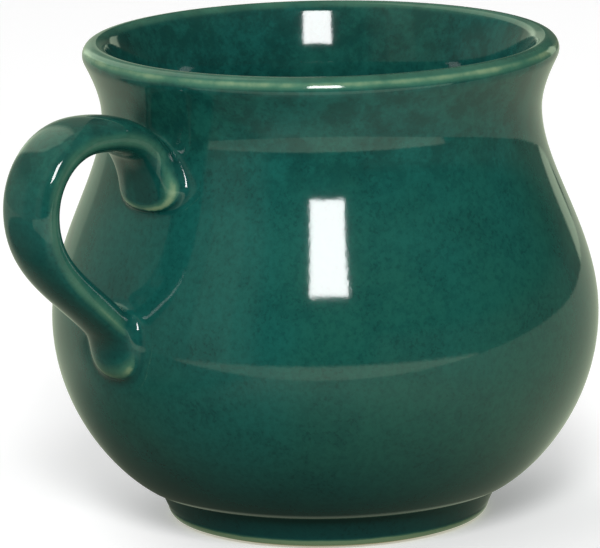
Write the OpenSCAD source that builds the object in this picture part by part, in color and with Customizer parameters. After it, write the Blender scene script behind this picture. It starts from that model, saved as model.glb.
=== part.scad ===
// A round-bellied stoneware mug with a pulled strap handle.
// The clay pieces are a bowl, a turned foot ring, a strap and the two joints that lute it to the wall.
// Three fired glaze coats lie over them: outside, inside and round the handle.
// The table is at zero height, the bowl's axis is the vertical axis and the handle points along X.

/* [Bowl] */
// Diameter over the glaze at the widest ring of the belly
belly_d = 100; // [94:0.5:108]
// Height of the belly's widest ring above the table
belly_h = 37.5; // [35:0.5:41]
// Height of the lip above the table
mug_h = 88.3; // [86:0.1:96]
// Diameter over the glaze at the waist under the lip
neck_d = 80; // [76:0.5:83]
// Distance from the lip's top down to the waist
neck_drop = 13.3; // [12:0.1:16]
// Diameter over the glaze of the rolled lip
lip_d = 86.6; // [85:0.1:92]
// Thickness of the rolled lip, glaze included
lip_t = 4.6; // [4:0.1:5.4]
// Outward lean of the wall where it runs into the lip, in degrees
lip_lean = 27; // [18:1:34]
// Thickness of the wall, glaze included
wall_t = 4.4; // [3.8:0.1:5.2]
// Thickness of the floor's clay above the foot ring
floor_t = 5; // [4:0.1:7]

/* [Foot] */
// Diameter of the arris where the underside of the belly breaks to the foot
arris_d = 67.6; // [65:0.2:72]
// Height of that arris above the table
arris_h = 7.2; // [7:0.1:9]
// Height of the small cove between the arris and the foot ring
cove_h = 0.8; // [0.5:0.1:1.4]
// Rise of the underside where it leaves the arris, in degrees
underside_rise = 30; // [22:1:38]
// Diameter of the foot ring at its top
foot_top_d = 62.4; // [60:0.2:64.6]
// Diameter of the foot ring where its lower edge starts to roll in
foot_low_d = 58.4; // [56:0.2:60]
// Height of that rolled lower edge
foot_roll_h = 2.2; // [1.6:0.1:3]
// Outer diameter of the flat ring that stands on the table
rest_d = 52.6; // [50:0.2:54]
// Width of the flat ring that stands on the table
rest_w = 3; // [2:0.1:5]
// Inside diameter of the foot ring at its top
recess_d = 43; // [38:0.5:44]

/* [Handle] */
// Width of the strap at its upper joint, glaze included
strap_w = 14.4; // [12:0.1:17]
// Width of the strap at its lower joint, glaze included
strap_low_w = 11.4; // [10:0.1:14]
// Thickness of the strap, glaze included
strap_t = 6; // [5:0.1:7]
// Clear room for fingers between the belly's widest ring and the strap, seen from above
finger_room = 14.8; // [12:0.2:24]
// Distance from the waist down to where the strap stands out furthest
reach_drop = 9.8; // [7:0.2:13]
// Distance of the loop's crown outward from the waist
crown_out = 15.5; // [13:0.1:19]
// Rise of the strap's middle at the crown above the waist
crown_rise = 3.1; // [1:0.1:5]
// Distance from the waist down to where the strap's upper end is buried in the shoulder
root_top_drop = 17.1; // [15:0.1:20]
// Distance from the belly's widest ring down to where the strap's lower end is buried
root_low_drop = 12.2; // [9.5:0.1:14]
// Height of the clay worked up round each joint
joint_fillet = 4; // [2:0.1:5]
// Depth of the strap's buried ends below the wall's face, beyond what the joint's clay takes
root_cover = 0.1; // [0.1:0.05:0.5]

/* [Glaze] */
// Thickness of the fired glaze
glaze_t = 0.4; // [0.3:0.05:0.6]
// Height of the line on the foot where the glaze was wiped away
glaze_line_h = 0.7; // [0.6:0.05:1.2]

/* [Smoothness] */
// Facets round the bowl
round_fn = 120; // [48:12:180]
// Corners round the strap's section
strap_sides = 24; // [16:4:32]
// Stations along each stretch of the strap
strap_steps = 10; // [8:1:14]
// Stations along each curve of the bowl's outline
curve_steps = 14; // [10:1:20]

/* [Hidden] */

clay_color = "#d8c6a4";
glaze_color = "#1d5a52";
liner_color = "#24675d";

// Radii and heights of the clay under the glaze
belly_r = belly_d / 2 - glaze_t;
neck_r = neck_d / 2 - glaze_t;
lip_roll_r = lip_t / 2 - glaze_t;
lip_mid = [lip_d / 2 - lip_t / 2, mug_h - lip_t / 2];
neck_h = mug_h - neck_drop;
arris_r = arris_d / 2;
foot_top_r = foot_top_d / 2;
foot_low_r = foot_low_d / 2;
rest_r = rest_d / 2;
recess_r = recess_d / 2;
seat_h = arris_h - cove_h;
clay_wall_t = wall_t - 2 * glaze_t;

// Shares of each stretch at which the handles of its curve stand
underside_start_share = 0.4;
underside_end_share = 0.53;
shoulder_start_share = 0.41;
shoulder_end_share = 0.285;
flare_start_share = 0.36;
flare_end_share = 0.3;
inner_side_share = 0.62;
inner_floor_share = 0.6;

// The same for the strap's three curves
rise_start_share = 0.5;
rise_end_share = 1.1;
fall_start_share = 0.56;
fall_end_share = 0.55;
tail_start_share = 0.41;
tail_end_share = 0.58;

// Lean of the strap where it leaves the shoulder and where it runs into the belly, in degrees
rise_angle = 66;
tail_angle = 76;

// Power of the strap's section: 2 is an ellipse, and a higher number has fuller edges
section_power = 2.7;

// Shares of the first and last curve that belong to the joints
upper_joint_share = 0.72;
lower_joint_share = 0.42;

function steps(n, from, to) = [for (i = [0:n]) from + (to - from) * i / n];

function without_first(list) = [for (i = [1:len(list) - 1]) list[i]];

function unit(v) = v / norm(v);

function direction(a) = [cos(a), sin(a)];

function bezier(c, t) =
    pow(1 - t, 3) * c[0] + 3 * pow(1 - t, 2) * t * c[1] + 3 * (1 - t) * t * t * c[2] + pow(t, 3) * c[3];

function bezier_slope(c, t) =
    pow(1 - t, 2) * (c[1] - c[0]) + 2 * (1 - t) * t * (c[2] - c[1]) + t * t * (c[3] - c[2]);

// All points of a curve after its first one
function curve(c, n) = [for (i = [1:n]) bezier(c, i / n)];

// The clay outline, from the table up the outside, over the lip and down to the middle of the floor
arris = [arris_r, arris_h];
belly = [belly_r, belly_h];
neck = [neck_r, neck_h];
lip_outside = lip_mid + lip_roll_r * direction(-lip_lean);
lip_inside = lip_mid + lip_roll_r * direction(180 - lip_lean);
inner_neck = neck - [clay_wall_t, 0];
inner_belly = belly - [clay_wall_t, 0];
inner_floor = [0, seat_h + floor_t];
flare_rise = lip_outside.y - neck_h;
shoulder_rise = neck_h - belly_h;

glaze_line_angle = acos(1 - glaze_line_h / foot_roll_h);
bare_steps = 3;

function foot_roll(angles) =
    [for (a = angles) [rest_r + (foot_low_r - rest_r) * sin(a), foot_roll_h * (1 - cos(a))]];

bare_foot = foot_roll(steps(bare_steps, 0, glaze_line_angle));
glazed_foot = without_first(foot_roll(steps(6, glaze_line_angle, 90)));

cove = [for (a = steps(4, 0, 90))
    [arris_r - (arris_r - foot_top_r) * cos(a), seat_h + cove_h * sin(a)]];

underside = curve([
    arris,
    arris + (belly_r - arris_r) * underside_start_share * direction(underside_rise),
    belly - [0, (belly_h - arris_h) * underside_end_share],
    belly], curve_steps);

shoulder = curve([
    belly,
    belly + [0, shoulder_rise * shoulder_start_share],
    neck - [0, shoulder_rise * shoulder_end_share],
    neck], curve_steps);

flare = curve([
    neck,
    neck + [0, flare_rise * flare_start_share],
    lip_outside - flare_rise * flare_end_share * direction(90 - lip_lean),
    lip_outside], 6);

function lip_roll(angles) = [for (a = angles) lip_mid + lip_roll_r * direction(a)];

inner_flare = curve([
    lip_inside,
    lip_inside - flare_rise * flare_end_share * direction(90 - lip_lean),
    inner_neck + [0, flare_rise * flare_start_share],
    inner_neck], 6);

inner_shoulder = curve([
    inner_neck,
    inner_neck - [0, shoulder_rise * shoulder_end_share],
    inner_belly + [0, shoulder_rise * shoulder_start_share],
    inner_belly], curve_steps);

inner_bottom = curve([
    inner_belly,
    inner_belly - [0, (belly_h - inner_floor.y) * inner_side_share],
    inner_floor + [inner_belly.x * inner_floor_share, 0],
    inner_floor], curve_steps);

outside = concat(bare_foot, glazed_foot, cove, underside, shoulder, flare,
                 without_first(lip_roll(steps(8, -lip_lean, 90))));
inside = concat(lip_roll(steps(6, 90, 180 - lip_lean)), inner_flare, inner_shoulder, inner_bottom);
seat_index = len(bare_foot) + len(glazed_foot);
crest_index = len(outside) - 1;
clay = concat(outside, without_first(inside));
clay_end = len(clay) - 1;

// The direction that the clay faces at a point of its outline
function facing(i) =
    i == clay_end ? [0, 1] : let (d = unit(clay[i + 1] - clay[i - 1])) [d.y, -d.x];

// The outline of a glaze coat that runs over the clay from one point to another
function coat(from, to) = concat(
    [for (i = [from:to]) clay[i]],
    [for (i = [to:-1:from]) clay[i] + glaze_t * facing(i)]);

// Radius of the clay wall's outside at a height
wall_table = [for (p = outside) [p.y, p.x]];
function wall_r(h) = lookup(h, wall_table);

// The place of a buried end, straight in from the wall's face at a height
root_sink = (strap_t + joint_fillet) / 2 + root_cover;
function wall_slope(h) = (wall_r(h + cove_h) - wall_r(h - cove_h)) / (2 * cove_h);
function buried(h) = [wall_r(h), h] - root_sink * unit([1, -wall_slope(h)]);

// The middle line of the strap, in the plane of the handle: up from the shoulder, over and down
root_top = buried(neck_h - root_top_drop);
root_low = buried(belly_h - root_low_drop);
crown = [neck_d / 2 + crown_out, neck_h + crown_rise];
reach = [belly_d / 2 + finger_room + strap_t / 2, neck_h - reach_drop];

strap_curves = [
    [root_top,
     root_top + (crown.y - root_top.y) * rise_start_share * direction(rise_angle),
     crown - [(crown.x - root_top.x) * rise_end_share, 0],
     crown],
    [crown,
     crown + [(reach.x - crown.x) * fall_start_share, 0],
     reach + [0, (crown.y - reach.y) * fall_end_share],
     reach],
    [reach,
     reach - [0, (reach.y - root_low.y) * tail_start_share],
     root_low + (reach.y - root_low.y) * tail_end_share * direction(tail_angle),
     root_low]];

function power(x, p) = sign(x) * pow(abs(x), p);

// Half the clay strap's size across and through, at a share of its length
function half_w(s) = (strap_w + (strap_low_w - strap_w) * s) / 2 - glaze_t;
half_t = strap_t / 2 - glaze_t;

// How far the joint's clay is worked up at a point that stands clear of the wall by a distance
function worked(clear) = joint_fillet / 2 * pow(1 - max(0, min(1, clear / joint_fillet)), 2);

// One ring of points round the strap, at a share t of its curve k, under a coat of some thickness
function ring(k, t, coat_t) =
    let (middle = bezier(strap_curves[k], t),
         along = unit(bezier_slope(strap_curves[k], t)),
         out = [-along.y, along.x],
         w = half_w((k + t) / len(strap_curves)))
    [for (j = [0:strap_sides - 1])
        let (a = 360 * j / strap_sides,
             u = half_t * power(cos(a), 2 / section_power),
             v = w * power(sin(a), 2 / section_power),
             e = unit([power(cos(a), 2 - 2 / section_power) / half_t,
                       power(sin(a), 2 - 2 / section_power) / w]),
             p = [middle.x + u * out.x, v, middle.y + u * out.y],
             push = worked(norm([p.x, p.y]) - wall_r(p.z)) + coat_t)
        p + push * [e.x * out.x, e.y, e.x * out.y]];

upper_joint_at = [for (t = steps(strap_steps, 0, upper_joint_share)) [0, t]];
lower_joint_at = [for (t = steps(strap_steps, 1 - lower_joint_share, 1)) [2, t]];
strap_at = concat(
    [for (t = steps(4, upper_joint_share, 1)) [0, t]],
    [for (t = without_first(steps(strap_steps, 0, 1))) [1, t]],
    [for (t = without_first(steps(strap_steps, 0, 1 - lower_joint_share))) [2, t]]);
handle_at = concat(upper_joint_at, without_first(strap_at), without_first(lower_joint_at));

function rings(places, coat_t) = [for (s = places) ring(s[0], s[1], coat_t)];

function flat(lists) = [for (list = lists) each list];

// The triangles between rings that start at a point number, facing out or in
function sides_of(count, first, facing_out) = [
    for (i = [0:count - 2], j = [0:strap_sides - 1])
        let (a = first + i * strap_sides + j,
             b = first + i * strap_sides + (j + 1) % strap_sides,
             c = b + strap_sides,
             d = a + strap_sides)
        each facing_out ? [[a, b, c], [a, c, d]] : [[a, c, b], [a, d, c]]];

// A solid through rings of points, closed by a flat face at each end
module loft(places, coat_t) {
    all_rings = rings(places, coat_t);
    last = (len(places) - 1) * strap_sides;
    polyhedron(
        flat(all_rings),
        concat(
            sides_of(len(places), 0, true),
            [[for (j = [strap_sides - 1:-1:0]) j]],
            [[for (j = [0:strap_sides - 1]) last + j]]));
}

// A coat over those rings, open at both ends
module sleeve(places, coat_t) {
    count = len(places) * strap_sides;
    last = count - strap_sides;
    start_rim = [for (j = [0:strap_sides - 1]) let (k = (j + 1) % strap_sides)
        each [[j, count + j, count + k], [j, count + k, k]]];
    end_rim = [for (j = [0:strap_sides - 1]) let (k = (j + 1) % strap_sides)
        each [[last + j, last + k, count + last + k], [last + j, count + last + k, count + last + j]]];
    polyhedron(
        concat(flat(rings(places, coat_t)), flat(rings(places, 0))),
        concat(
            sides_of(len(places), 0, true),
            sides_of(len(places), count, false),
            start_rim,
            end_rim));
}

// Everything inside the clay wall's outside face
module clay_body()
    rotate_extrude($fn = round_fn)
        polygon(concat([[0, 0]], outside, [[0, outside[crest_index].y]]));

module bowl()
    color(clay_color)
        rotate_extrude($fn = round_fn)
            polygon(concat([[0, seat_h]], [for (i = [seat_index:clay_end]) clay[i]]));

module foot_ring()
    color(clay_color)
        rotate_extrude($fn = round_fn)
            polygon(concat(
                [for (i = [0:seat_index]) clay[i]],
                [[recess_r, seat_h], [rest_r - rest_w, 0]]));

module handle()
    color(clay_color)
        loft(strap_at, 0);

module upper_joint()
    color(clay_color)
        difference() {
            loft(upper_joint_at, 0);
            clay_body();
        }

module lower_joint()
    color(clay_color)
        difference() {
            loft(lower_joint_at, 0);
            clay_body();
        }

module outer_glaze()
    color(glaze_color)
        difference() {
            rotate_extrude($fn = round_fn)
                polygon(coat(bare_steps, crest_index));
            loft(upper_joint_at, glaze_t);
            loft(lower_joint_at, glaze_t);
        }

module liner_glaze()
    color(liner_color)
        rotate_extrude($fn = round_fn)
            polygon(coat(crest_index, clay_end));

module handle_glaze()
    color(glaze_color)
        difference() {
            sleeve(handle_at, glaze_t);
            clay_body();
        }

bowl();
foot_ring();
upper_joint();
handle();
lower_joint();
outer_glaze();
liner_glaze();
handle_glaze();
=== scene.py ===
# %% [markdown]
# # A round-bellied stoneware mug
# The mug was thrown on a wheel, given a pulled strap handle, and dipped in one dark teal-green glaze.
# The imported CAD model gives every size. This lesson adds what CAD leaves plain: the soft blend of the
# handle into the wall, the glaze that thins over edges, and the light of a small studio.

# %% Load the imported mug
import math

import bpy
import numpy as np
from mathutils import Matrix, Vector


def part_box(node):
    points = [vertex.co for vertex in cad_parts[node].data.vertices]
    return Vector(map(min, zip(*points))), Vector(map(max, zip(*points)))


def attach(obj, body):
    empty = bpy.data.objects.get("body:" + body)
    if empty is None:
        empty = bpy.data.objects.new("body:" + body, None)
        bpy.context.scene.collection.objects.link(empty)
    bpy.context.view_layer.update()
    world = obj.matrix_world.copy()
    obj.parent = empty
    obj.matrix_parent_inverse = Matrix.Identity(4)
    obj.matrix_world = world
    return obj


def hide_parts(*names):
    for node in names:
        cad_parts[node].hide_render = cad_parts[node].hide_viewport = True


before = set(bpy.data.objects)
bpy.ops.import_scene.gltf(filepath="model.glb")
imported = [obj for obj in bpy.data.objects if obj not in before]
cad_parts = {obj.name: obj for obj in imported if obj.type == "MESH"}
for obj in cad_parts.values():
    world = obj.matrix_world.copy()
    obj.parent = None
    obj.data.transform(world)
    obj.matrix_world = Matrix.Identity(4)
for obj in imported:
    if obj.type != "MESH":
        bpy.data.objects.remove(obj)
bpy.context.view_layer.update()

print("CAD nodes:", sorted(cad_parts))

# %% [markdown]
# ## Sizes
# Blender works in metres, and a mug is easier to think of in millimetres, so every outline below is
# in millimetres and is scaled once, when its mesh is made. The large sizes are read from the CAD
# pieces, so that the looks follow the model.

# %% Main sizes, read from the CAD pieces
MM = 0.001


def reach(node, axis):
    """The highest coordinate of a CAD node along an axis, in millimetres."""
    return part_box(node)[1][axis] / MM


BELLY_R = reach("outer_glaze", 1)
MUG_H = reach("outer_glaze", 2)
FOOT_TOP_R = reach("foot_ring", 1)
SEAT_H = reach("foot_ring", 2)
STRAP_REACH = reach("handle_glaze", 0)
print(f"belly {2 * BELLY_R:.1f} mm, height {MUG_H:.1f} mm, strap out to {STRAP_REACH:.1f} mm")

# %% [markdown]
# ## The outline
# A thrown pot is one outline turned about an axis. The outline is a chain of cubic curves and arcs,
# each with a start, an end and two handles, just as a designer would draw it. It runs from the table
# up the outside, over the lip, and down the inside to the middle of the floor.

# %% Helpers for curves
def direction(degrees):
    """A unit step in the plane of the outline."""
    return np.array([math.cos(math.radians(degrees)), math.sin(math.radians(degrees))])


def bezier(points, count):
    """Points of a cubic curve after its first one."""
    a, b, c, d = (np.array(p, float) for p in points)
    t = np.linspace(0, 1, count + 1)[1:, None]
    return (1 - t) ** 3 * a + 3 * (1 - t) ** 2 * t * b + 3 * (1 - t) * t * t * c + t ** 3 * d


def arc(centre, radii, start, end, count):
    """Points of an elliptic arc, its first one left out."""
    angles = np.linspace(start, end, count + 1)[1:]
    return np.array([centre + np.array(radii) * direction(a) for a in angles])


print("an eighth of a circle ends at", direction(45).round(3))

# %% Sizes of the clay
GLAZE_T = 0.4
WALL_T = 3.6
FLOOR_T = 5.0
BELLY_H = 37.5
NECK_R = 39.6
NECK_H = MUG_H - 13.3
LIP_ROLL_R = 1.9
LIP_LEAN = 27
LIP_MID = np.array([41.0, MUG_H - GLAZE_T - LIP_ROLL_R])
ARRIS = np.array([33.8, 7.2])
UNDERSIDE_RISE = 30
FOOT_LOW_R = 29.2
FOOT_ROLL_H = 2.2
REST_R = 26.3

belly = np.array([BELLY_R - GLAZE_T, BELLY_H])
neck = np.array([NECK_R, NECK_H])
inner_belly = belly - (WALL_T, 0)
inner_neck = neck - (WALL_T, 0)
inner_floor = np.array([0, SEAT_H + FLOOR_T])
lip_out = LIP_MID + LIP_ROLL_R * direction(-LIP_LEAN)
lip_in = LIP_MID + LIP_ROLL_R * direction(180 - LIP_LEAN)
print("the neck is", round(100 * NECK_R / belly[0]), "percent as wide as the belly")

# %% The clay outline
# how far the two handles of each curve reach, as shares of its stretch
UNDERSIDE_SHARES = (0.4, 0.53)
SHOULDER_SHARES = (0.39, 0.31)
FLARE_SHARES = (0.36, 0.3)
BOTTOM_SHARES = (0.62, 0.6)
rise = NECK_H - BELLY_H
flare = lip_out[1] - NECK_H
lean = direction(90 - LIP_LEAN)


def shoulder(widest, waist):
    """The four points of the shoulder's curve, from the widest ring up to the waist."""
    return (widest, widest + (0, rise * SHOULDER_SHARES[0]),
            waist - (0, rise * SHOULDER_SHARES[1]), waist)


def flaring(waist, lip):
    """The four points of the curve from the waist up to the lip."""
    return waist, waist + (0, flare * FLARE_SHARES[0]), lip - flare * FLARE_SHARES[1] * lean, lip


outside = np.vstack([
    [[REST_R, 0]],
    arc((REST_R, FOOT_ROLL_H), (FOOT_LOW_R - REST_R, FOOT_ROLL_H), -90, 0, 16),
    [[FOOT_TOP_R, SEAT_H]],
    arc((ARRIS[0], SEAT_H), (FOOT_TOP_R - ARRIS[0], ARRIS[1] - SEAT_H), 0, 90, 8),
    bezier((ARRIS, ARRIS + (belly[0] - ARRIS[0]) * UNDERSIDE_SHARES[0] * direction(UNDERSIDE_RISE),
            belly - (0, (BELLY_H - ARRIS[1]) * UNDERSIDE_SHARES[1]), belly), 60),
    bezier(shoulder(belly, neck), 60),
    bezier(flaring(neck, lip_out), 24),
    arc(LIP_MID, (LIP_ROLL_R, LIP_ROLL_R), -LIP_LEAN, 90, 24)])
inside = np.vstack([
    arc(LIP_MID, (LIP_ROLL_R, LIP_ROLL_R), 90, 180 - LIP_LEAN, 16),
    bezier(flaring(inner_neck, lip_in)[::-1], 24),
    bezier(shoulder(inner_belly, inner_neck)[::-1], 60),
    bezier((inner_belly, inner_belly - (0, (BELLY_H - inner_floor[1]) * BOTTOM_SHARES[0]),
            inner_floor + (inner_belly[0] * BOTTOM_SHARES[1], 0), inner_floor), 60)])
clay_outline = np.vstack([outside, inside])
print("clay outline:", len(clay_outline), "points")

# %% [markdown]
# ## Even points and rounded edges
# The glaze is glassy, so the eye reads every kink in the outline as a kink in a reflection. The
# outline is therefore respaced in short even steps, its corners are worn round with a running
# average, and then points are dropped where it is nearly straight.

# %% Helpers that respace, soften and thin an outline
def lengths_along(line):
    """How far each point lies along the line from its start."""
    return np.concatenate([[0], np.cumsum(np.hypot(*np.diff(line, axis=0).T))])


def respaced(line, step):
    """The same line with points an even step apart."""
    along = lengths_along(line)
    at = np.linspace(0, along[-1], int(along[-1] / step) + 1)
    return np.column_stack([np.interp(at, along, line[:, i]) for i in (0, 1)])


def softened(line, width, step):
    """A line of even steps whose corners are worn round over a width; its ends stay in place."""
    half = int(3 * width / step)
    weights = np.exp(-0.5 * (np.arange(-half, half + 1) * step / width) ** 2)
    weights /= weights.sum()
    # the line is continued past each end as its own point reflection
    start = 2 * line[0] - line[half:0:-1]
    end = 2 * line[-1] - line[-2:-half - 2:-1]
    longer = np.vstack([start, line, end])
    return np.column_stack([np.convolve(longer[:, i], weights, "valid") for i in (0, 1)])


def facing(line):
    """Unit steps square to the line, to its right-hand side."""
    tangent = np.gradient(line, axis=0)
    tangent /= np.hypot(*tangent.T)[:, None]
    return np.column_stack([tangent[:, 1], -tangent[:, 0]])


def thinned(line, length, turn):
    """The line with one point for each length in millimetres or each turn in degrees."""
    tangent = np.diff(line, axis=0)
    steps = np.hypot(*tangent.T)
    angle = np.unwrap(np.arctan2(tangent[:, 1], tangent[:, 0]))
    bend = np.abs(np.diff(angle, prepend=angle[0]))
    measure = np.concatenate([[0], np.cumsum(steps / length + bend / math.radians(turn))])
    at = np.linspace(0, measure[-1], int(measure[-1]) + 2)
    return np.column_stack([np.interp(at, measure, line[:, i]) for i in (0, 1)])


STEP = 0.1
EDGE_WEAR = 0.3
clay_line = softened(respaced(clay_outline, STEP), EDGE_WEAR, STEP)
print("softened outline:", len(clay_line), "points")

# %% [markdown]
# ## Where the glaze runs thin
# Melted glaze creeps off whatever bulges, and shows paler there. How strongly a turned surface bulges
# is known from its outline: how fast the outline turns, and how tightly its ring bends. The lip lost
# most of its glaze just outside its crest and less toward the inside. The foot's rolled edge, where the
# glaze ends, is paler than the bulge alone would tell: its glaze is thin, and painted light stands in
# for what the white paper bounces up onto it.

# %% The bulge of a turned outline
CREEP = 0.6
LIP_BAND = 6.0
BREAK_ANGLE = 33
BREAK_INNER, BREAK_OUTER = 20, 30
BREAK_PEAK = 1.08
CREST_SHARE = 0.62
CREST_END, CREST_FADE = 137, 30
FOOT_BAND = 4.5
FOOT_BREAK_AND_LIGHT = 1.8


def bulge_of(line):
    """How strongly a turned surface bulges about each point of its outline, in 1/mm."""
    tangent = np.gradient(line, axis=0)
    along = lengths_along(line)
    angle = np.unwrap(np.arctan2(tangent[:, 1], tangent[:, 0]))
    sharp = np.gradient(angle) / np.maximum(np.hypot(*tangent.T), 1e-9)
    # glaze creeps away from a bulge, so each place feels its neighbours within a millimetre or two
    felt = np.exp(-0.5 * ((along[:, None] - along) / CREEP) ** 2) * np.gradient(along)
    return (felt @ sharp) / felt.sum(1) + facing(line)[:, 0] / np.maximum(line[:, 0], 1.0)


def drained(line):
    """How much of its bulge's thinning each point shows: on the lip most just outside the crest, and on
    the foot's edge more, as painted bounce light.
    """
    outward, upward = facing(line).T
    angle = np.degrees(np.arctan2(upward, outward)) - BREAK_ANGLE
    outer = BREAK_PEAK * np.exp(-(angle / np.where(angle > 0, BREAK_INNER, BREAK_OUTER)) ** 2)
    inner = np.where(angle > 0, CREST_SHARE * np.clip((CREST_END - angle) / CREST_FADE, 0, 1), 0)
    share = np.where(line[:, 1] > MUG_H - LIP_BAND, np.maximum(outer, inner), 1)
    # painted light: the foot's edge is made paler than its thin glaze alone, for the light the white
    # paper bounces onto it
    return np.where(line[:, 1] < FOOT_BAND, FOOT_BREAK_AND_LIGHT, share)


print(f"the clay bulges by up to {bulge_of(clay_line).max():.2f} per mm")

# %% [markdown]
# ## Turning an outline into a mesh
# A lathe does it by spinning; here each point of the outline becomes a ring of vertices, and rings
# are joined by quads. Points on the axis become one vertex, so the solid is closed. The mesh also
# stores the bulge at each vertex, for the glaze to read.

# %% The lathe
TURNS = 288
ON_AXIS = 1e-6


def new_mesh(name, points, faces, bulge, normals=None):
    """A smooth mesh in metres, with the surface's bulge in 1/mm as an attribute."""
    mesh = bpy.data.meshes.new(name)
    mesh.from_pydata((points * MM).tolist(), [], faces)
    mesh.validate()
    mesh.polygons.foreach_set("use_smooth", np.ones(len(mesh.polygons), bool))
    attribute = mesh.attributes.new("bulge", "FLOAT", "POINT")
    attribute.data.foreach_set("value", bulge.astype(np.float32))
    if normals is not None:
        mesh.normals_split_custom_set_from_vertices(normals.tolist())
    mesh.update()
    piece = bpy.data.objects.new(name, mesh)
    bpy.context.scene.collection.objects.link(piece)
    print(f"{name}: {len(points)} vertices, {len(faces)} faces")
    return piece


def turned(name, line):
    """A closed solid turned from an outline that runs counter-clockwise from the axis back to it."""
    bulge = bulge_of(line) * drained(line)
    angles = np.arange(TURNS) * 2 * math.pi / TURNS
    points, rings, values = [], [], []
    for (r, z), b in zip(line, bulge):
        if r < ON_AXIS:
            rings.append([len(points)] * TURNS)
            points.append((0, 0, z))
            values.append(b)
        else:
            rings.append(range(len(points), len(points) + TURNS))
            points.extend(zip(r * np.cos(angles), r * np.sin(angles), [z] * TURNS))
            values.extend([b] * TURNS)
    faces = []
    for low, high in zip(rings[:-1], rings[1:]):
        for i in range(TURNS):
            j = (i + 1) % TURNS
            corners = [low[i], low[j], high[j], high[i]]
            faces.append(list(dict.fromkeys(corners)))
    return new_mesh(name, np.array(points, float), faces, np.array(values))


# %% [markdown]
# ## Bare clay
# The potter wiped the foot so that it wouldn't stick to the kiln shelf, so a thin line of cream clay
# shows at the very bottom, with the flat ring and the hollow under the floor. One turned solid holds
# all the clay: the bowl with its foot.

# %% Turn the clay
RECESS_R = 21.5
REST_W = 3.0
RECESS_WEAR = 0.4
CLAY_SPACING = (1.6, 6)

underneath = np.array([[0, SEAT_H], [RECESS_R, SEAT_H], [REST_R - REST_W, 0], [REST_R, 0]])
underneath = softened(respaced(underneath, STEP), RECESS_WEAR, STEP)
clay_all = np.vstack([underneath[:-1], clay_line])
clay_all[0, 0] = clay_all[-1, 0] = 0
clay = turned("clay_body", thinned(clay_all, *CLAY_SPACING))
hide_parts("bowl", "foot_ring")
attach(clay, "root")

# %% [markdown]
# ## The glaze coat
# Fired glaze is a layer of glass about 0.4 mm thick. It follows the clay, but it ends on the foot in
# a rounded bead. The coat is its own closed solid: out along the glass and back inside the clay.

# %% Turn the coat
LINE_H = 0.75
BEAD = 0.35
EMBED = 0.25
GLASS_WEAR = 0.15
GLASS_SPACING = (0.9, 3)
BURIED_SPACING = (3, 8)

coated = clay_line[np.argmax(clay_line[:, 1] > LINE_H):]
bead = np.clip(lengths_along(coated) / BEAD, 0, 1)
thickness = GLAZE_T * np.sqrt(np.clip(1 - (1 - bead) ** 2, 0, 1))
glass = coated + facing(coated) * thickness[:, None]
glass = softened(respaced(glass, STEP), GLASS_WEAR, STEP)
glass[-1, 0] = 0
glass_line = thinned(glass, *GLASS_SPACING)
buried = thinned(coated, *BURIED_SPACING)
buried = buried - facing(buried) * EMBED
buried[-1, 0] = 0
coat = turned("glazed_wall", np.vstack([glass_line, buried[::-1], glass_line[:1]]))
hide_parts("outer_glaze", "liner_glaze")
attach(coat, "root")
print("lip's top at", round(float(glass[:, 1].max()), 2), "mm; belly", round(float(glass[:, 0].max()), 2))

# %% [markdown]
# ## The strap's middle line
# The handle is a pulled strap that rises from the shoulder, turns over and runs down to the belly.
# Its middle line is three curves in one plane. They are respaced and slightly softened so that
# the bend changes gradually, and both ends run on straight into the wall.

# %% Draw the middle line
STRAP_T = 6.0
CROWN_OUT = 15.9
CROWN_RISE = 3.1
REACH_H = NECK_H - 9.8
ROOT_TOP = np.array([39.0, 56.0])
ROOT_LOW = np.array([42.65, 27.0])
RISE_ANGLE = 70
TAIL_ANGLE = 76
RISE_SHARES = (0.5, 1.1)
FALL_SHARES = (0.56, 0.55)
TAIL_SHARES = (0.41, 0.58)
RUN_ON = 8.0
MIDDLE_WEAR = 1.2

crown = np.array([NECK_R + CROWN_OUT, NECK_H + CROWN_RISE])
furthest = np.array([STRAP_REACH - STRAP_T / 2, REACH_H])
fall = furthest[1] - ROOT_LOW[1]
middle = np.vstack([
    [ROOT_TOP - RUN_ON * direction(RISE_ANGLE)],
    [ROOT_TOP],
    bezier((ROOT_TOP, ROOT_TOP + (crown[1] - ROOT_TOP[1]) * RISE_SHARES[0] * direction(RISE_ANGLE),
            crown - ((crown[0] - ROOT_TOP[0]) * RISE_SHARES[1], 0), crown), 200),
    bezier((crown, crown + ((furthest[0] - crown[0]) * FALL_SHARES[0], 0),
            furthest + (0, (crown[1] - furthest[1]) * FALL_SHARES[1]), furthest), 200),
    bezier((furthest, furthest - (0, fall * TAIL_SHARES[0]),
            ROOT_LOW + fall * TAIL_SHARES[1] * direction(TAIL_ANGLE), ROOT_LOW), 300),
    [ROOT_LOW - RUN_ON * direction(TAIL_ANGLE)]])
middle = softened(respaced(middle, STEP), MIDDLE_WEAR, STEP)
middle_facing = -facing(middle)
strap_length = (len(middle) - 1) * STEP
print(f"strap's middle line: {strap_length:.0f} mm")

# %% [markdown]
# ## The handle as a distance field
# Where the strap meets the wall the potter smoothed the clay over with a wet finger, and the glaze
# filled what was left. A soft union of two distance fields gives just that: away from the joint it
# is the strap or the wall, and near it the two flow together.

# %% Distance to the wall
outer_glass = glass[:np.argmax(glass[:, 1])]
# the slope is a difference over heights, so the heights are nudged until each lies above the last
rising = np.maximum.accumulate(outer_glass[:, 1]) + 1e-9 * np.arange(len(outer_glass))
wall_slope = np.gradient(outer_glass[:, 0], rising)


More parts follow.
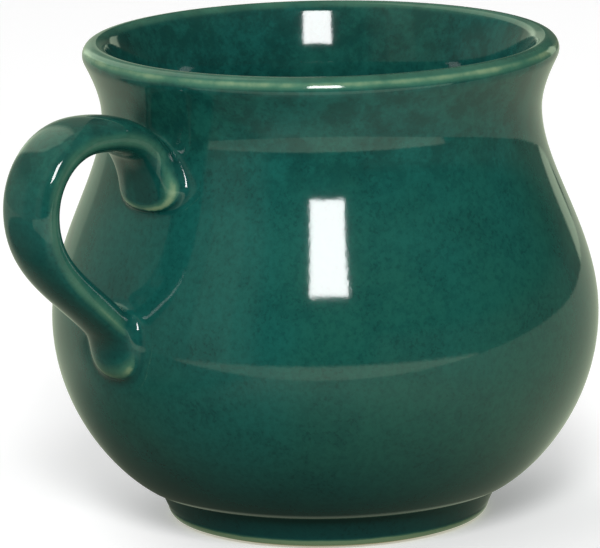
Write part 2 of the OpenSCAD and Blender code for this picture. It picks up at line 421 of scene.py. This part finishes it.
def wall_distance(p):
    """How far a point lies outside the glazed wall."""
    r = np.hypot(p[:, 0], p[:, 1])
    radius = np.interp(p[:, 2], outer_glass[:, 1], outer_glass[:, 0])
    slope = np.interp(p[:, 2], outer_glass[:, 1], wall_slope)
    return (r - radius) / np.sqrt(1 + slope ** 2)


strap_far = np.array([[STRAP_REACH, 0, REACH_H]])
print(f"the strap stands {wall_distance(strap_far)[0]:.1f} mm off the wall")

# %% Helpers for distance fields
CHUNK = 4000
SKIP = 4


def nearest_place(p):
    """The index along the middle line that is nearest to each point."""
    flat = p[:, [0, 2]]
    index = np.empty(len(p))
    for i in range(0, len(p), CHUNK):
        gap = flat[i:i + CHUNK, None, :] - middle[None, ::SKIP, :]
        index[i:i + CHUNK] = SKIP * np.argmin((gap ** 2).sum(2), axis=1)
    return index


def rounded(shares, halves, power):
    """Distance to a rounded block, from the share of each half size that a point lies out."""
    shares = [np.maximum(np.abs(share), 1e-6) for share in shares]
    size = sum(share ** power for share in shares) ** (1 / power)
    slope = sum(((share / size) ** (power - 1) / half) ** 2 for share, half in zip(shares, halves))
    return (size - 1) / np.sqrt(slope)


def melted(a, b, width):
    """The lesser of two distances, with a soft fillet of a width where they meet."""
    near = np.clip(width - np.abs(a - b), 0, None) / width
    return np.minimum(a, b) - near ** 3 * width / 6


print(f"the strap reaches furthest {nearest_place(strap_far)[0] * STEP - RUN_ON:.0f} mm from its root")

# %% Distance to the strap
STRAP_W = 14.4
STRAP_LOW_W = 11.4
OUTER_POWER = 2.2
INNER_POWER = 2.7
INNER_SWELL = 0.3
FLARE = 1.0
SWAY = 1.4
FLARE_AT, FLARE_HALF = 19.0, 4.5


def strap_distance(p, place):
    """How far a point lies outside the strap, out through its thickness, and along its length."""
    flat = p[:, [0, 2]]
    count = np.arange(len(middle))
    tangent = np.gradient(middle, axis=0) / STEP
    for _ in range(4):
        c = np.column_stack([np.interp(place, count, middle[:, i]) for i in (0, 1)])
        t = np.column_stack([np.interp(place, count, tangent[:, i]) for i in (0, 1)])
        place = np.clip(place + ((flat - c) * t).sum(1) / STEP, 0, len(middle) - 1)
    out = np.column_stack([np.interp(place, count, middle_facing[:, i]) for i in (0, 1)])
    u = ((flat - c) * out).sum(1)
    share = np.clip((place * STEP - RUN_ON) / (strap_length - 2 * RUN_ON), 0, 1)
    half_w = (STRAP_W + (STRAP_LOW_W - STRAP_W) * share) / 2
    root = np.exp(-((place * STEP - FLARE_AT) / FLARE_HALF) ** 2)
    half_w += FLARE * root
    side = p[:, 1] - SWAY * root
    half_t = np.where(u > 0, STRAP_T / 2, STRAP_T / 2 + INNER_SWELL)
    power = np.where(u > 0, OUTER_POWER, INNER_POWER)
    return rounded((u / half_t, side / half_w), (half_t, half_w), power), u, share


off = strap_distance(strap_far, nearest_place(strap_far))[0][0]
print(f"the CAD strap's furthest point lies {off:.2f} mm off this strap")

# %% [markdown]
# ## The strap's ends
# The potter pressed each end on the wall with a thumb, which left a rounded tongue. At the top the
# strap is cut to a round end. At the bottom a flat pad of clay spreads over the belly.

# %% The two tongues and the soft union
TOP_TONGUE = np.array([1.3, 69.0])
TOP_HALF = (8.6, 6.3)
TOP_MELT = 1.6
PAD = np.array([0.5, 39.2])
PAD_HALF = (6.3, 5.9)
PAD_T = 2.2
PAD_MELT = 3.0
TONGUE_POWER = 2.4
WELL_INSIDE = -9
SINK = 0.08
FILLET_H = (37, 43, 50, 56, 63, 67)
FILLET = (2.0, 3.4, 3.4, 1.6, 1.6, 3.6)


def handle_field(p, place):
    """Below zero in the handle with its two joints, and the distance to the wall."""
    wall = wall_distance(p)
    strap, _, share = strap_distance(p, place)
    side, high = p[:, 1] - TOP_TONGUE[0], np.clip(TOP_TONGUE[1] - p[:, 2], 0, None)
    end = rounded((side / TOP_HALF[0], high / TOP_HALF[1]), TOP_HALF, TONGUE_POWER)
    # only the upper half of the strap is cut to that round end
    end = np.where(share < 0.5, end, WELL_INSIDE)
    strap = -melted(-strap, -end, TOP_MELT)
    side, high = p[:, 1] - PAD[0], p[:, 2] - PAD[1]
    shares = (side / PAD_HALF[0], high / PAD_HALF[1], wall / PAD_T)
    strap = melted(strap, rounded(shares, (*PAD_HALF, PAD_T), TONGUE_POWER), PAD_MELT)
    fillet = np.interp(p[:, 2], FILLET_H, FILLET)
    # past the joint the field slips under the wall's face, so that its rim doesn't show
    face = wall + SINK * np.clip(strap - fillet, 0, None) ** 3
    return melted(face, strap, fillet), wall


# %% [markdown]
# ## From a field to a mesh
# The field is sampled on a fine grid. Each grid cell that the surface passes through gets one
# vertex, and each grid edge that it crosses gets one quad. The vertices are then slid onto the
# surface, so that reflections run smoothly over it.

# %% Sample the field
GRID = 0.5
CORE = 1.2
FIELD_HALF_W = 13.5
low = np.array([36.0, -FIELD_HALF_W, 17.0])
high = np.array([STRAP_REACH + 1.5, FIELD_HALF_W, MUG_H - 2])
axes = [np.arange(low[i], high[i] + GRID, GRID) for i in range(3)]
shape = tuple(len(a) for a in axes)
plane = np.array([(x, 0, z) for x in axes[0] for z in axes[2]])
place_plane = nearest_place(plane).reshape(shape[0], shape[2])
nodes = np.stack(np.meshgrid(*axes, indexing="ij"), -1).reshape(-1, 3)
place_nodes = np.repeat(place_plane[:, None, :], shape[1], axis=1).reshape(-1)
blend, wall = handle_field(nodes, place_nodes)
values = np.maximum(blend, -(wall + CORE)).reshape(shape)
print("grid:", shape, "inside:", int((values < 0).sum()))


# %% Mesh the field
def surface_net(values):
    """Vertices in grid units and quads of the zero surface of a grid of values."""
    shape = np.array(values.shape)
    cells = shape - 1
    total, hits, quads = np.zeros((*cells, 3)), np.zeros(tuple(cells)), []
    for axis in range(3):
        a = np.moveaxis(values, axis, 0)
        crossing = (a[:-1] < 0) != (a[1:] < 0)
        i, j, k = np.nonzero(crossing)
        share = a[i, j, k] / (a[i, j, k] - a[i + 1, j, k])
        keep = (j > 0) & (k > 0) & (j < a.shape[1] - 1) & (k < a.shape[2] - 1)
        i, j, k, share = i[keep], j[keep], k[keep], share[keep]
        inward = a[i, j, k] < 0
        order = [axis] + [n for n in range(3) if n != axis]
        back = np.argsort(order)
        corners = []
        for dj, dk in ((-1, -1), (0, -1), (0, 0), (-1, 0)):
            cell = np.stack([i, j + dj, k + dk])[back]
            spot = np.stack([i + share, j.astype(float), k.astype(float)])[back].T
            np.add.at(total, tuple(cell), spot)
            np.add.at(hits, tuple(cell), 1)
            corners.append(np.ravel_multi_index(tuple(cell), tuple(cells)))
        quad = np.stack(corners, 1)
        flip = inward if axis != 1 else ~inward
        quad[~flip] = quad[~flip][:, ::-1]
        quads.append(quad)
    quads = np.vstack(quads)
    used = np.unique(quads)
    points = (total.reshape(-1, 3)[used] / hits.reshape(-1)[used][:, None])
    return points, np.searchsorted(used, quads)


points, quads = surface_net(values)
points = low + points * GRID
print("surface net:", len(points), "vertices,", len(quads), "quads")

# %% [markdown]
# ## Sliding the vertices onto the surface
# One step along the field's slope, as long as the field's value there, lands almost on the surface.
# Three such steps are enough. The same slope is the surface's normal, and the way the normals
# spread is the bulge that the glaze needs.

# %% Slide the vertices
SLOPE_STEP = 0.02


def slope_of(p, place):
    """The field's slope by small steps either way."""
    slope = np.empty_like(p)
    for i in range(3):
        shift = np.zeros(3)
        shift[i] = SLOPE_STEP
        rise = handle_field(p + shift, place)[0] - handle_field(p - shift, place)[0]
        slope[:, i] = rise / (2 * SLOPE_STEP)
    return slope


place = nearest_place(points)
for _ in range(3):
    blend, wall = handle_field(points, place)
    slope = slope_of(points, place)
    move = -blend[:, None] * slope / (slope ** 2).sum(1)[:, None]
    shown = (blend > -(wall + CORE)) & (np.abs(blend) < GRID)
    points[shown] += move[shown]
print(int(shown.sum()), "vertices slid, at the last step by up to", f"{np.abs(move[shown]).max():.4f} mm")

# %% Normals, and how they spread
SPREAD_STEP = 0.15


def unit_slope(p):
    """The surface's normal at each vertex, moved or not."""
    slope = slope_of(p, place)
    return slope / np.linalg.norm(slope, axis=1)[:, None]


normals = unit_slope(points)
hidden = ~shown
normals[hidden] = -np.column_stack([points[hidden, 0], points[hidden, 1], np.zeros(hidden.sum())])
normals[hidden] /= np.linalg.norm(normals[hidden], axis=1)[:, None]
spread = np.zeros(len(points))
for i in range(3):
    shift = np.zeros(3)
    shift[i] = SPREAD_STEP
    spread += (unit_slope(points + shift)[:, i] - unit_slope(points - shift)[:, i]) / (2 * SPREAD_STEP)
edges = np.vstack([quads[:, [0, 1]], quads[:, [1, 2]], quads[:, [2, 3]], quads[:, [3, 0]]])
for _ in range(2):
    total = spread.copy()
    np.add.at(total, edges[:, 0], spread[edges[:, 1]])
    spread = total / (1 + np.bincount(edges[:, 0], minlength=len(points)))
print(f"the handle bulges by {spread.min():.2f} to {spread.max():.2f} per mm")

# %% [markdown]
# ## Where the handle's glaze ran thin, and where its shade is painted
# The glaze drew off the strap's two edges, most of all on the lower stretch, and off the rims of both
# pressed ends. So the bulge is weighed by its place on the strap. The faces beside those edges, inside
# the upper root and outside the lower stretch, get painted shade: there the bulge is taken below zero,
# which the glaze's mix turns into its deep colour. Only what stands proud of the wall changes, so that
# no border shows on the wall.

# %% Weigh the handle's bulge, and paint the shade on its faces
HANDLE_BREAK = 0.85
FACE_SHARE = 0.15
EDGE_AT, LOW_EDGE_AT = -0.6, 0.0
EDGE_HALF = 1.2
LOW_GAIN = 1.35
TOP_RIM, LOW_RIM = 1.12, 1.7
# painted shade on the strap's faces beside its pale edges, laid in as a bulge below zero
PAINTED_FACE_SHADE = 0.6
FLAT = 0.15
# where each ramp starts and how wide it is, as shares of the strap's length
LOW_STRETCH = (0.6, 0.1)
BELOW_TURN = (0.45, 0.15)
ABOVE_ROOT = (0.2, 0.1)
TIP = (0.33, 0.05)
# and in millimetres
INNER_FACE, OUTER_FACE = (0.3, 1.0), (0.8, 1.0)
NEAR_SIDE = (-1.0, 2.0)
PROUD = (0.3, 1.0)


def ramp(value, start, width):
    """0 up to a start, then a straight climb to 1 over a width."""
    return np.clip((value - start) / width, 0, 1)


_, u, share = strap_distance(points, place)
lower = ramp(share, *LOW_STRETCH)
edge_at = EDGE_AT + (LOW_EDGE_AT - EDGE_AT) * lower
gain = 1 + (LOW_GAIN - 1) * lower
weight = FACE_SHARE + (1 - FACE_SHARE) * gain * np.exp(-((u - edge_at) / EDGE_HALF) ** 2)
rim = np.where(share < 0.5, TOP_RIM, LOW_RIM)
spread *= HANDLE_BREAK * (weight + (rim - weight) * ramp(np.abs(share - 0.5), *TIP))
root_face_shade = ramp(-u, *INNER_FACE) * (1 - ramp(share, *ABOVE_ROOT)) * ramp(points[:, 1], *NEAR_SIDE)
low_face_shade = ramp(u, *OUTER_FACE) * ramp(share, *BELOW_TURN)
flat = np.clip(1 - spread / FLAT, 0, 1) * ramp(wall_distance(points), *PROUD)
# painted shade: the faces inside the upper root and outside the lower stretch get a bulge below zero,
# which the glaze shows in its deep colour
spread -= PAINTED_FACE_SHADE * (root_face_shade + low_face_shade) * flat
handle = new_mesh("glazed_handle", points, quads.tolist(), spread, normals)
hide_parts("handle", "upper_joint", "lower_joint", "handle_glaze")
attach(handle, "root")

# %% [markdown]
# ## Shader sums
# A finish is a recipe of nodes. One small class wraps a node's output, so that Python's own sums
# write the Math nodes, and one method makes every other node.

# %% The socket
class Socket:
    """A node's output. Sums on it add Math nodes."""

    def __init__(self, recipe, output):
        self.recipe = recipe
        self.output = output

    def __add__(self, other):
        return self.recipe.math("ADD", self, other)

    def __radd__(self, other):
        return self.recipe.math("ADD", other, self)

    def __sub__(self, other):
        return self.recipe.math("SUBTRACT", self, other)

    def __rsub__(self, other):
        return self.recipe.math("SUBTRACT", other, self)

    def __mul__(self, other):
        return self.recipe.math("MULTIPLY", self, other)

    def __rmul__(self, other):
        return self.recipe.math("MULTIPLY", other, self)

    def between(self, low, high):
        """0 below low, 1 above high, and a smooth step between them."""
        settings = {"interpolation_type": "SMOOTHSTEP"}
        sockets = {"Value": self, "From Min": low, "From Max": high}
        return self.recipe.node("ShaderNodeMapRange", settings, sockets)


# %% The recipe
class Recipe:
    """The node tree of one finish."""

    def __init__(self, owner):
        owner.use_nodes = True
        self.tree = owner.node_tree
        self.tree.nodes.clear()

    def node(self, kind, settings=None, sockets=None, output=0):
        """Makes a node: settings first, then the values or links of its sockets."""
        made = self.tree.nodes.new(kind)
        for name, value in (settings or {}).items():
            setattr(made, name, value)
        for name, value in (sockets or {}).items():
            if isinstance(value, Socket):
                self.tree.links.new(value.output, made.inputs[name])
            else:
                made.inputs[name].default_value = value
        return None if output is None else Socket(self, made.outputs[output])

    def end(self, kind, shader):
        """The output node that shows a shader."""
        self.node(kind, None, {"Surface": shader}, None)

    def math(self, operation, *values):
        """A Math node on numbers or sockets, in their order."""
        return self.node("ShaderNodeMath", {"operation": operation}, dict(enumerate(values)))

    def vector_math(self, operation, first, second):
        """The single number that a Vector Math node makes of two vectors."""
        sockets = {0: first, 1: tuple(second)}
        return self.node("ShaderNodeVectorMath", {"operation": operation}, sockets, "Value")

    def mix(self, share, first, second):
        """A colour between two colours."""
        settings = {"data_type": "RGBA"}
        return self.node("ShaderNodeMix", settings, {0: share, 6: first, 7: second}, 2)

    def noise(self, place, size, detail=2.0, roughness=0.5):
        """Cloudy noise whose lumps have about a size, in millimetres."""
        sockets = {"Vector": place, "Scale": 1 / (size * MM), "Detail": detail, "Roughness": roughness}
        return self.node("ShaderNodeTexNoise", {"noise_dimensions": "3D"}, sockets)

    def bump(self, height, strength, distance):
        """A normal that is tilted by a height, whose full rise is a distance in millimetres."""
        sockets = {"Strength": strength, "Distance": distance * MM, "Height": height}
        return self.node("ShaderNodeBump", None, sockets)


def finish(name, build):
    """A material built by a function that is given its recipe."""
    material = bpy.data.materials.new(name)
    recipe = Recipe(material)
    recipe.end("ShaderNodeOutputMaterial", build(recipe))
    print(f"{name}: {len(material.node_tree.nodes)} nodes")
    return material


# %% [markdown]
# ## The glaze
# Copper and iron in the glaze make a deep teal green. It is darker where specks of iron came out,
# clouded on a larger scale, and bluer toward the foot, where it ran down and pooled. The neck under the
# lip has dark blotches of iron, with painted shade of the lip's overhang in them. It breaks to pale sage
# where it ran thin over an edge; at the foot's edge this paleness is partly painted light bounced up from
# the paper. It is deeper where it gathered in hollows, and on the handle's shaded faces, where that
# deeper colour is painted shade. All of this is colour under a clear, glassy surface with a very slight
# ripple.

# %% Mix the glaze
TEAL = (0.0075, 0.089, 0.0745, 1)
GREEN = (0.0095, 0.083, 0.0635, 1)
DEEP = (0.0035, 0.046, 0.042, 1)
POOL = (0.004, 0.052, 0.057, 1)
# the colour of iron specks, also used for the painted shade under the lip
SPECK_AND_SHADE = (0.003, 0.026, 0.023, 1)
EDGE = (0.066, 0.185, 0.115, 1)
THIN = (0.26, 0.36, 0.20, 1)
GLAZE_ROUGHNESS = 0.07
GLAZE_IOR = 1.48
# heights in millimetres
NECK_BAND, POOL_BAND = (62, 76), (5, 26)
# bulges in 1/mm
EDGE_BULGE, THIN_BULGE, HOLLOW_AND_SHADE = (0.06, 0.42), (0.34, 0.60), (0.1, 0.5)


def mix_glaze(recipe):
    """The colour of the glaze, and its gloss."""
    place = recipe.node("ShaderNodeTexCoord", output="Object")
    high = recipe.vector_math("DOT_PRODUCT", place, (0, 0, 1 / MM))
    # the bulge; on the handle it also carries painted shade below zero, and on the foot's edge painted
    # light
    bulge = recipe.node("ShaderNodeAttribute", {"attribute_name": "bulge"}, output="Fac")
    # each noise is given its lumps' size, its detail and its roughness
    drift = recipe.noise(place, 30, 2).between(0.35, 0.65)
    clouds = recipe.noise(place, 9, 5, 0.62).between(0.42, 0.68)
    # dark iron blotches in the neck band under the lip, with painted shade of the lip's overhang
    blotch_and_lip_shade = recipe.noise(place, 5, 5, 0.7).between(0.40, 0.62) * high.between(*NECK_BAND)
    mottle = recipe.noise(place, 1.3, 4, 0.65).between(0.38, 0.66)
    specks = recipe.noise(place, 0.7, 2, 0.6).between(0.50, 0.68)
    uneven = bulge * (0.35 + 1.2 * recipe.noise(place, 7, 4, 0.6))
    colour = recipe.mix(drift, TEAL, GREEN)
    colour = recipe.mix(clouds * 0.4, colour, DEEP)
    colour = recipe.mix(blotch_and_lip_shade * 0.55, colour, SPECK_AND_SHADE)
    colour = recipe.mix(mottle * 0.38, colour, DEEP)
    colour = recipe.mix((1 - high.between(*POOL_BAND)) * 0.55, colour, POOL)
    # deeper where the bulge is below zero: glaze pooled in hollows, and painted shade on the handle's
    # faces
    colour = recipe.mix((0 - bulge).between(*HOLLOW_AND_SHADE) * 0.55, colour, DEEP)
    colour = recipe.mix(specks * (0.16 + 0.3 * clouds), colour, SPECK_AND_SHADE)
    # pale where the glaze ran thin; at the foot's edge this is partly painted light bounced up from the
    # paper
    colour = recipe.mix(uneven.between(*EDGE_BULGE) * 0.72, colour, EDGE)
    colour = recipe.mix(uneven.between(*THIN_BULGE) * 0.65, colour, THIN)
    normal = recipe.bump(recipe.noise(place, 0.8, 2), 0.25, 0.02)
    return recipe.node("ShaderNodeBsdfPrincipled", None, {
        "Base Color": colour, "Roughness": GLAZE_ROUGHNESS, "IOR": GLAZE_IOR, "Normal": normal})


glaze = finish("green_glaze", mix_glaze)
for piece in (coat, handle):
    piece.data.materials.append(glaze)

# %% [markdown]
# ## The clay
# The bare foot is a fine cream stoneware, matt, with a little iron in it.

# %% Mix the clay
CREAM = (0.70, 0.58, 0.40, 1)
TOASTED = (0.50, 0.36, 0.21, 1)
CLAY_ROUGHNESS = 0.75


def mix_clay(recipe):
    """The colour and the fine grain of the bare clay."""
    place = recipe.node("ShaderNodeTexCoord", output="Object")
    toast = recipe.noise(place, 6, 4).between(0.45, 0.75)
    colour = recipe.mix(toast * 0.5, CREAM, TOASTED)
    normal = recipe.bump(recipe.noise(place, 0.4, 3), 0.5, 0.05)
    return recipe.node("ShaderNodeBsdfPrincipled", None, {
        "Base Color": colour, "Roughness": CLAY_ROUGHNESS, "Normal": normal})


clay.data.materials.append(finish("stoneware", mix_clay))

# %% [markdown]
# ## The camera
# The camera stands where the photograph was taken from: a metre away, a little above the lip, with
# a long lens, and the handle turned to its left.

# %% Place the camera
CAMERA_POLAR = 49.04
CAMERA_DISTANCE = 1.0
CAMERA_HEIGHT = 0.25917
TURN, TILT, ROLL = 0.0045, 0.2115, -0.0188
FOCAL_PIXELS = 5592.3
PHOTO_WIDTH = 600
SENSOR = 36.0
NEAREST, FURTHEST = 0.05, 50


def ahead(degrees):
    """A level unit step at an angle from the line to the camera, toward the picture's right."""
    angle = math.radians(CAMERA_POLAR + degrees)
    return Vector((math.cos(angle), math.sin(angle), 0))


up = Vector((0, 0, 1))
level = Matrix.Rotation(TURN, 3, "Z") @ -ahead(0)
forward = level * math.cos(TILT) - up * math.sin(TILT)
right = level.cross(up)
above = right.cross(forward)
right, above = (right * math.cos(ROLL) + above * math.sin(ROLL),
                above * math.cos(ROLL) - right * math.sin(ROLL))
camera = bpy.data.objects.new("camera", bpy.data.cameras.new("camera"))
bpy.context.scene.collection.objects.link(camera)
turn = Matrix((right, above, -forward)).transposed().to_4x4()
camera.matrix_world = Matrix.Translation(ahead(0) * CAMERA_DISTANCE + up * CAMERA_HEIGHT) @ turn
camera.data.sensor_width = SENSOR
camera.data.lens = FOCAL_PIXELS * SENSOR / PHOTO_WIDTH
camera.data.clip_start = NEAREST
camera.data.clip_end = FURTHEST
bpy.context.scene.camera = camera
print(f"a lens of {camera.data.lens:.0f} mm, looking down by {math.degrees(TILT):.1f} degrees")

# %% [markdown]
# ## The white paper
# The mug stands on white paper. Only the camera sees this sheet, which keeps the mug's shadow: the
# glaze is a mirror, and what it mirrors is built apart, because the photographer's room wasn't white.

# %% Lay the paper
def flat_stage(name, corners, mix_colour):
    """A stage piece of one flat face, with its own finish."""
    mesh = bpy.data.meshes.new(name)
    mesh.from_pydata([tuple(c) for c in corners], [], [list(range(len(corners)))])
    made = bpy.data.objects.new(name, mesh)
    bpy.context.scene.collection.objects.link(made)
    made.data.materials.append(finish(name, mix_colour))
    return made


PAPER_R = 6.0
PAPER_CORNERS = 96
PAPER = (0.88, 0.88, 0.88, 1)
PAPER_GLOW = 0.26


def mix_paper(recipe):
    """White paper, with a little glow of its own so that it stays white in a plain light."""
    matt = recipe.node("ShaderNodeBsdfDiffuse", None, {"Color": PAPER})
    glow = recipe.node("ShaderNodeEmission", None, {"Strength": PAPER_GLOW})
    return recipe.node("ShaderNodeAddShader", None, {0: matt, 1: glow})


paper_angles = np.linspace(0, 2 * math.pi, PAPER_CORNERS, endpoint=False)
paper_edge = [(PAPER_R * math.cos(a), PAPER_R * math.sin(a), 0) for a in paper_angles]
paper = flat_stage("paper", paper_edge, mix_paper)
paper.visible_glossy = paper.visible_diffuse = paper.visible_shadow = False

# %% [markdown]
# ## The table that the glaze mirrors
# The lower half of a glazed pot shows the table it stands on. In the photograph that table is grey,
# darker at its front left and close to the foot, and a pale band across the belly tells where its
# round front edge was. Its back edge is straight. A narrow glow under the foot lifts the mirrored
# light at the very bottom. The camera doesn't see the table, only the glaze does, so its light is
# painted.

# %% Stand the table
TABLE_LIGHT = 0.60
TABLE_TINT = (0.88, 1.0, 0.74, 1)
TABLE_R, TABLE_FRONT, TABLE_BACK = 0.82, 0.165, 0.85
TABLE_DROP = 0.0002
TABLE_TURN = 2.5
# each shade's strength, its spot as a bearing and a distance, and the radii of its soft border
CORNER_SHADE, CORNER_SPOT, CORNER_BORDER = 0.42, (-68, 0.30), (0.18, 0.225)
MUG_SHADE, MUG_SPOT, MUG_BORDER = 0.26, (-50, 0.05), (0.03, 0.125)
FOOT_SHADE, FOOT_BORDER = 0.6, (0.03, 0.06)
FOOT_GLOW, GLOW_BORDER = 0.30, (0.0295, 0.031)


def mix_table(recipe):
    """Grey cloth as the light leaves it: dark round the foot, and darker to the front left."""
    place = recipe.node("ShaderNodeTexCoord", output="Object")

    def away(degrees, along):
        """How far a place lies from a spot, which is so far from the axis in one direction."""
        return recipe.vector_math("DISTANCE", place, ahead(degrees) * along)

    light = TABLE_LIGHT - (1 - away(*CORNER_SPOT).between(*CORNER_BORDER)) * CORNER_SHADE
    light = light * (MUG_SHADE + (1 - MUG_SHADE) * away(*MUG_SPOT).between(*MUG_BORDER))
    light = light * (FOOT_SHADE + (1 - FOOT_SHADE) * away(0, 0).between(*FOOT_BORDER))
    light = light + (1 - away(0, 0).between(*GLOW_BORDER)) * FOOT_GLOW
    return recipe.node("ShaderNodeEmission", None, {"Color": TABLE_TINT, "Strength": light})


table_mid = ahead(0) * (TABLE_FRONT - TABLE_R) - up * TABLE_DROP
round_edge = [table_mid + ahead(a) * TABLE_R for a in np.arange(0, 360, TABLE_TURN)]
table_edge = [p - ahead(0) * min(p.dot(ahead(0)) + TABLE_BACK, 0) for p in round_edge]
table = flat_stage("table", table_edge, mix_table)
table.visible_camera = False

# %% [markdown]
# ## The window
# One window behind the photographer lights the mug. It is mirrored in the shoulder, in the lip
# and inside, always as the same bright four-sided patch, and that tells how wide and how high it was.

# %% Hang the window
WINDOW_AWAY = 1.25
WINDOW_LOW, WINDOW_HIGH = 24.3, 46.0
WINDOW_LEFT, WINDOW_RIGHT = -6.8, 10.5
WINDOW_RADIANCE = 25

middle_across = (WINDOW_LEFT + WINDOW_RIGHT) / 2
window_w = 2 * WINDOW_AWAY * math.tan(math.radians((WINDOW_RIGHT - WINDOW_LEFT) / 2))
window_low = BELLY_H * MM + WINDOW_AWAY * math.tan(math.radians(WINDOW_LOW))
window_high = BELLY_H * MM + WINDOW_AWAY * math.tan(math.radians(WINDOW_HIGH))
window_h = window_high - window_low
pane = bpy.data.lights.new("window", "AREA")
pane.shape = "RECTANGLE"
pane.size = window_w
pane.size_y = window_h
pane.energy = WINDOW_RADIANCE * math.pi * window_w * window_h
window = bpy.data.objects.new("window", pane)
bpy.context.scene.collection.objects.link(window)
window.location = ahead(middle_across) * WINDOW_AWAY + up * (window_low + window_high) / 2
window.rotation_mode = "QUATERNION"
window.rotation_quaternion = ahead(middle_across).to_track_quat("Z", "Y")
window.visible_camera = False
print(f"window {window_w:.2f} by {window_h:.2f} m")

# %% [markdown]
# ## The room
# The rest of the room is the world's colour by direction. Each patch of it is there for what the
# glaze shows: a dim room, lighter on the left, a bright doorway behind on the left, and the pale
# floor beyond the table's front edge. Matt things get the same light, with an even fill on top.

# %% Directions in the room
world = bpy.data.worlds.new("room")
bpy.context.scene.world = world
room = Recipe(world)
ray = room.node("ShaderNodeTexCoord", output="Generated")


def along_axis(axis):
    """The ray's share along an axis."""
    return room.vector_math("DOT_PRODUCT", ray, axis)


elevation = room.math("ARCSINE", along_axis(up)) * math.degrees(1)
across = room.math("ARCTAN2", along_axis(ahead(90)), along_axis(ahead(0))) * math.degrees(1)


def patch(left, right, low, high, soft=4.0):
    """1 in a patch of the room between two bearings and two elevations, in degrees, 0 outside it."""
    wide = across.between(left - soft, left + soft) * (1 - across.between(right - soft, right + soft))
    tall = elevation.between(low - soft, low + soft) * (1 - elevation.between(high - soft, high + soft))
    return wide * tall


print("nodes for the directions:", len(world.node_tree.nodes))

# %% Paint the room
DIM = 0.05
FILL = 0.20
FILL_LEFT = 0.25
SKY = 1.0
WHITE = (1, 1, 1, 1)
MIRROR_TINT = (0.84, 1.0, 0.72, 1)

doorway_sill = 20 + (across + 140)
doorway = 0.95 * patch(-163, -112, -5, 68, 4) * (elevation - doorway_sill).between(-3, 3)
pale_floor = (0.7 + 0.55 * across.between(-50, 5)) * patch(-66, 66, -50, -9.4, 1)
mirrored = (DIM
            # the left half of the room, its lower part, and a strip toward the front
            + 0.22 * patch(-200, -30, -14, 100, 6)
            + 0.16 * patch(-170, -88, -22, 20, 6)
            + 0.12 * patch(-58, -40, -12, 60, 1.5)
            # the ceiling, and its lighter left
            + 0.12 * patch(-200, 200, 32, 100, 12)
            + 0.15 * patch(-200, 20, 62, 100, 10)
            + doorway
            # low things round the back and on the right
            + 0.22 * patch(-200, -144, -12, 12, 1.5)
            + 0.95 * patch(145, 156, -4.5, 14, 1.5)
            + 0.10 * patch(156, 200, -14, 10, 3)
            + 0.12 * patch(20, 145, -14, 6, 5)
            + pale_floor)
camera_ray, glossy_ray = (room.node("ShaderNodeLightPath", output=name)
                          for name in ("Is Camera Ray", "Is Glossy Ray"))
fill = FILL + FILL_LEFT * patch(-170, -50, -20, 60, 20)
lit = mirrored + fill * (1 - glossy_ray)
strength = lit + camera_ray * (SKY - lit)
tint = room.mix(glossy_ray, WHITE, MIRROR_TINT)
background = room.node("ShaderNodeBackground", None, {"Color": tint, "Strength": strength})
room.end("ShaderNodeOutputWorld", background)
bpy.context.scene.view_settings.view_transform = "Standard"
print("room:", len(world.node_tree.nodes), "nodes")
